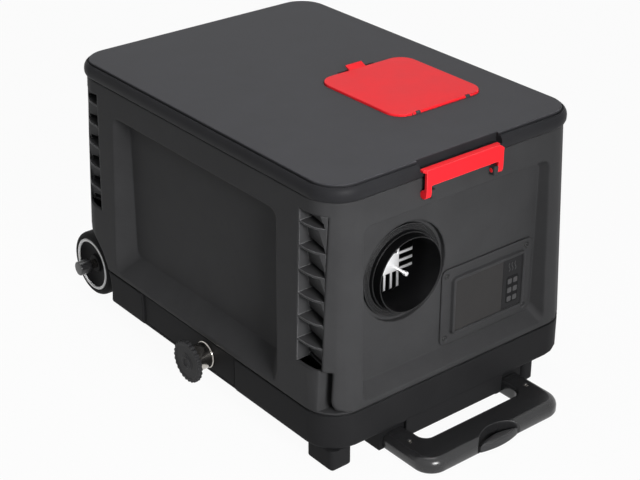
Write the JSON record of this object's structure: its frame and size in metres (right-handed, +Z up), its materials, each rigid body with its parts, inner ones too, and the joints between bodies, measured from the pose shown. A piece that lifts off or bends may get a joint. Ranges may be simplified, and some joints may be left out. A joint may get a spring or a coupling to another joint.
{
  "type": "space heater",
  "caption": "Portable diesel air heater in a wheeled trolley case, with a lid, latch, filler cover, hot-air outlet, control panel and pull-out handle.",
  "frame": {"origin": "on the ground, under the middle of the whole object's box", "axes": "+Z up; -Y the front with the hot-air outlet, the control panel and the pull handle; +Y the rear with the wheels; the exhaust leaves on -X"},
  "size_m": [0.3416, 0.5364, 0.293],
  "materials": {
    "casing": "fine moulded texture",
    "lid_plastic": "fine moulded texture",
    "red_plastic": "satin",
    "black_plastic": "satin",
    "rubber": "matte",
    "tyre": "matte",
    "cast_aluminium": "as cast",
    "steel": "polished",
    "white_trim": "satin",
    "display": "smooth",
    "tank_plastic": "translucent moulding",
    "circuit_board": "lacquered",
    "hose": "matte"
  },
  "bodies": {
    "case": {"case_body": "casing", "corner_louver_front_left": "casing", "corner_louver_front_right": "casing", "corner_louver_rear_left": "casing", "corner_louver_rear_right": "casing", "base_tray": "casing", "exhaust_side_plate": "casing", "intake_side_plate": "casing", "control_bezel": "casing", "foot_left": "casing", "foot_right": "casing", "outlet_flange": "black_plastic", "outlet_tube": "black_plastic", "heater_case_lower": "black_plastic", "heater_case_upper": "black_plastic", "blower_motor": "black_plastic", "intake_duct": "black_plastic", "rear_grille": "black_plastic", "power_inlet": "black_plastic", "keypad": "black_plastic", "axle_cap_left": "black_plastic", "axle_cap_right": "black_plastic", "handle_sleeve_left": "black_plastic", "handle_sleeve_right": "black_plastic", "heat_exchanger": "cast_aluminium", "exhaust_stub": "steel", "exhaust_pipe": "steel", "heater_bracket": "steel", "burner_tube": "steel", "glow_plug": "steel", "fuel_pump": "steel", "lid_hinge_pin": "steel", "wheel_axle": "steel", "display_window": "display", "fuel_tank": "tank_plastic", "control_board": "circuit_board", "combustion_air_pipe": "hose", "fuel_line_suction": "hose", "fuel_line_feed": "hose"},
    "lid": {"lid": "lid_plastic", "lid_seal": "rubber", "filler_cover_pin": "steel"},
    "filler_cover": {"filler_cover": "red_plastic"},
    "latch": {"latch": "red_plastic"},
    "tank_cap": {"tank_cap": "black_plastic"},
    "exhaust_cap": {"exhaust_cap": "black_plastic"},
    "fan_rotor": {"fan_shaft": "steel", "combustion_impeller": "black_plastic", "intake_fan": "black_plastic"},
    "wheel_left": {"wheel_hub_left": "black_plastic", "tyre_left": "tyre", "wheel_ring_left": "white_trim"},
    "wheel_right": {"wheel_hub_right": "black_plastic", "tyre_right": "tyre", "wheel_ring_right": "white_trim"},
    "handle": {"handle_grip": "black_plastic", "handle_tube_left": "steel", "handle_tube_right": "steel"},
    "handle_button": {"handle_button": "black_plastic"}
  },
  "joints": [
    {"name": "lid_hinge", "type": "hinge", "parent": "case", "child": "lid", "pos_m": [0.0123, 0.22675, 0.2676], "axis": [-1, 0, 0], "range_deg": [0, 100]},
    {"name": "filler_cover_hinge", "type": "hinge", "parent": "lid", "child": "filler_cover", "pos_m": [0.0638, -0.11375, 0.2883], "axis": [1, 0, 0], "range_deg": [0, 105]},
    {"name": "latch_hinge", "type": "hinge", "parent": "case", "child": "latch", "pos_m": [0.0085, -0.20075, 0.2563], "axis": [1, 0, 0], "range_deg": [0, 110]},
    {"name": "tank_cap_turn", "type": "hinge", "parent": "case", "child": "tank_cap", "pos_m": [0.0638, -0.05425, 0.26], "axis": [0, 0, 1], "range_deg": [0, 90]},
    {"name": "exhaust_cap_pull", "type": "slide", "parent": "case", "child": "exhaust_cap", "axis": [-1, 0, 0], "range_m": [0, 0.04]},
    {"name": "fan_spin", "type": "hinge", "parent": "case", "child": "fan_rotor", "pos_m": [-0.04655, 0.07875, 0.177], "axis": [0, 1, 0], "continuous": true},
    {"name": "wheel_left_spin", "type": "hinge", "parent": "case", "child": "wheel_left", "pos_m": [-0.1202, 0.23175, 0.0365], "axis": [1, 0, 0], "continuous": true},
    {"name": "wheel_right_spin", "type": "hinge", "parent": "case", "child": "wheel_right", "pos_m": [0.1418, 0.23175, 0.0365], "axis": [1, 0, 0], "continuous": true},
    {"name": "handle_slide", "type": "slide", "parent": "case", "child": "handle", "axis": [0, -1, 0], "range_m": [0, 0.3]},
    {"name": "handle_button_press", "type": "slide", "parent": "handle", "child": "handle_button", "axis": [0, 1, 0], "range_m": [0, 0.003], "stiffness_N_per_m": 300}
  ]
}
